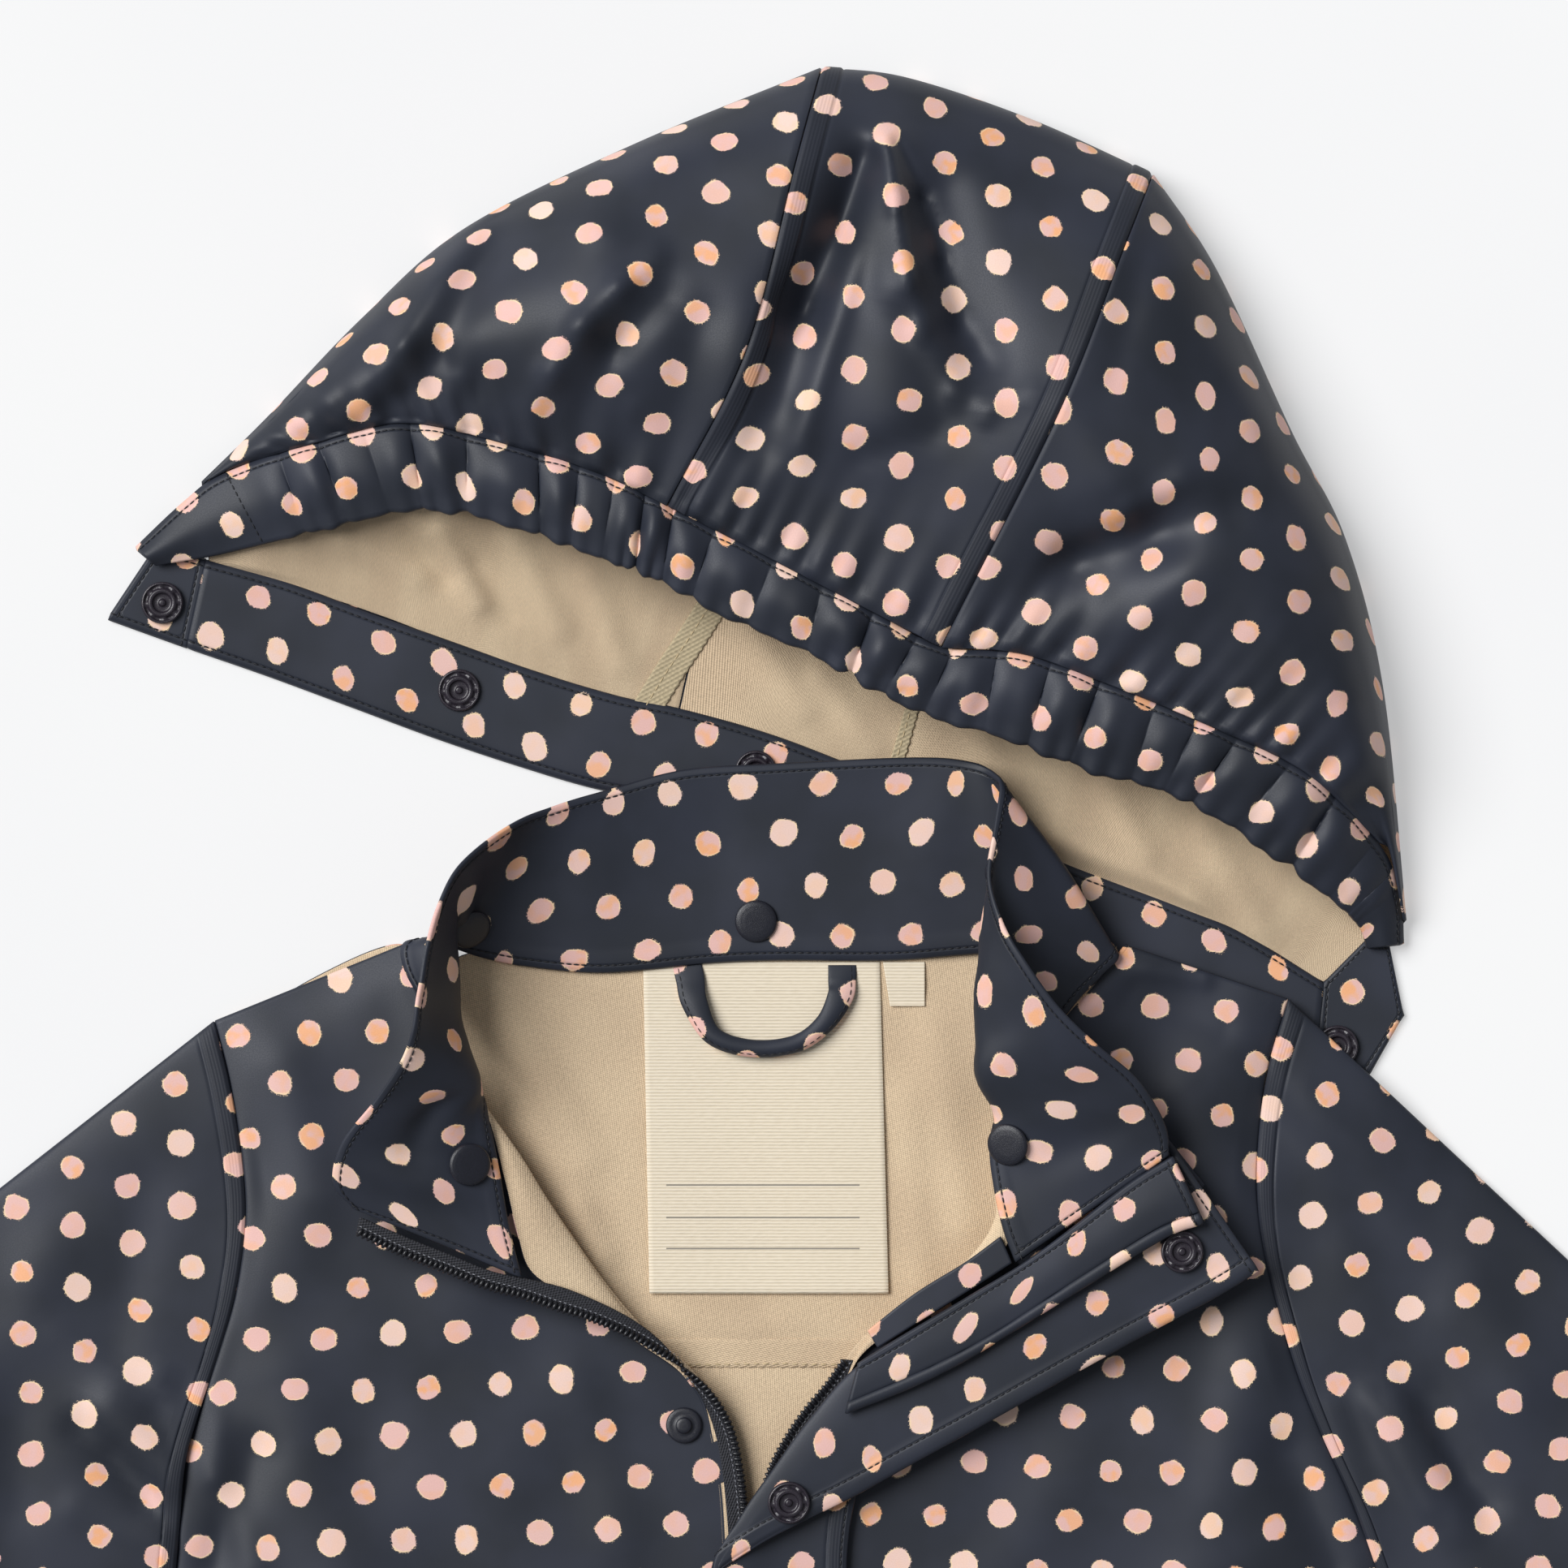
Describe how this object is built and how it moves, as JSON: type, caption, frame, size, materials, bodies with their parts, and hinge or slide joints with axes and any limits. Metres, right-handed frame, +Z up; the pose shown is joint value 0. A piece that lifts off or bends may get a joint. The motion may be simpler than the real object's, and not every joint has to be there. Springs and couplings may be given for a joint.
{
  "type": "toddler raincoat with detached hood, laid flat",
  "caption": "Child's coated rain coat lying flat on its back with the neck folded open and its snap-off hood laid above the collar.",
  "frame": {"origin": "middle of the underside of the laid-out coat, sleeves and hood included, on the surface it lies on", "axes": "+X towards the coat's left sleeve as seen from above (the viewer's right), +Y from the hem towards the hood, +Z up from the surface"},
  "size_m": [0.9288, 0.7924, 0.0506],
  "materials": {
    "coated_cloth": "coated navy rain cloth with small hand-painted dots, semi-matt",
    "lining_cloth": "beige woven backing, matt",
    "zip_tape": "black woven zip tape with coil teeth",
    "snap_plastic": "dark navy moulded plastic, satin",
    "ribbon": "cream ribbed ribbon, matt"
  },
  "bodies": {
    "root": {"back_panel": "coated_cloth", "back_yoke": "lining_cloth", "collar": "coated_cloth", "collar_cap_1": "snap_plastic", "collar_cap_2": "snap_plastic", "collar_cap_3": "snap_plastic", "collar_cap_4": "snap_plastic", "collar_cap_5": "snap_plastic", "flap_cap_1": "snap_plastic", "flap_cap_2": "snap_plastic", "flap_socket_1": "snap_plastic", "flap_socket_2": "snap_plastic", "front_left": "coated_cloth", "front_right": "coated_cloth", "front_stud_1": "snap_plastic", "hanger_loop": "coated_cloth", "hood_casing": "coated_cloth", "hood_centre": "coated_cloth", "hood_left": "coated_cloth", "hood_neckband": "coated_cloth", "hood_right": "coated_cloth", "hood_socket_1": "snap_plastic", "hood_socket_2": "snap_plastic", "hood_socket_3": "snap_plastic", "hood_socket_4": "snap_plastic", "hood_socket_5": "snap_plastic", "hood_tab_left": "coated_cloth", "hood_tab_right": "coated_cloth", "neck_facing": "coated_cloth", "neck_label": "ribbon", "placket": "coated_cloth", "size_tab": "ribbon", "sleeve_left": "coated_cloth", "sleeve_right": "coated_cloth", "zip_guard": "coated_cloth", "zip_slider": "snap_plastic", "zip_tape_left": "zip_tape", "zip_tape_right": "zip_tape"}
  },
  "joints": []
}
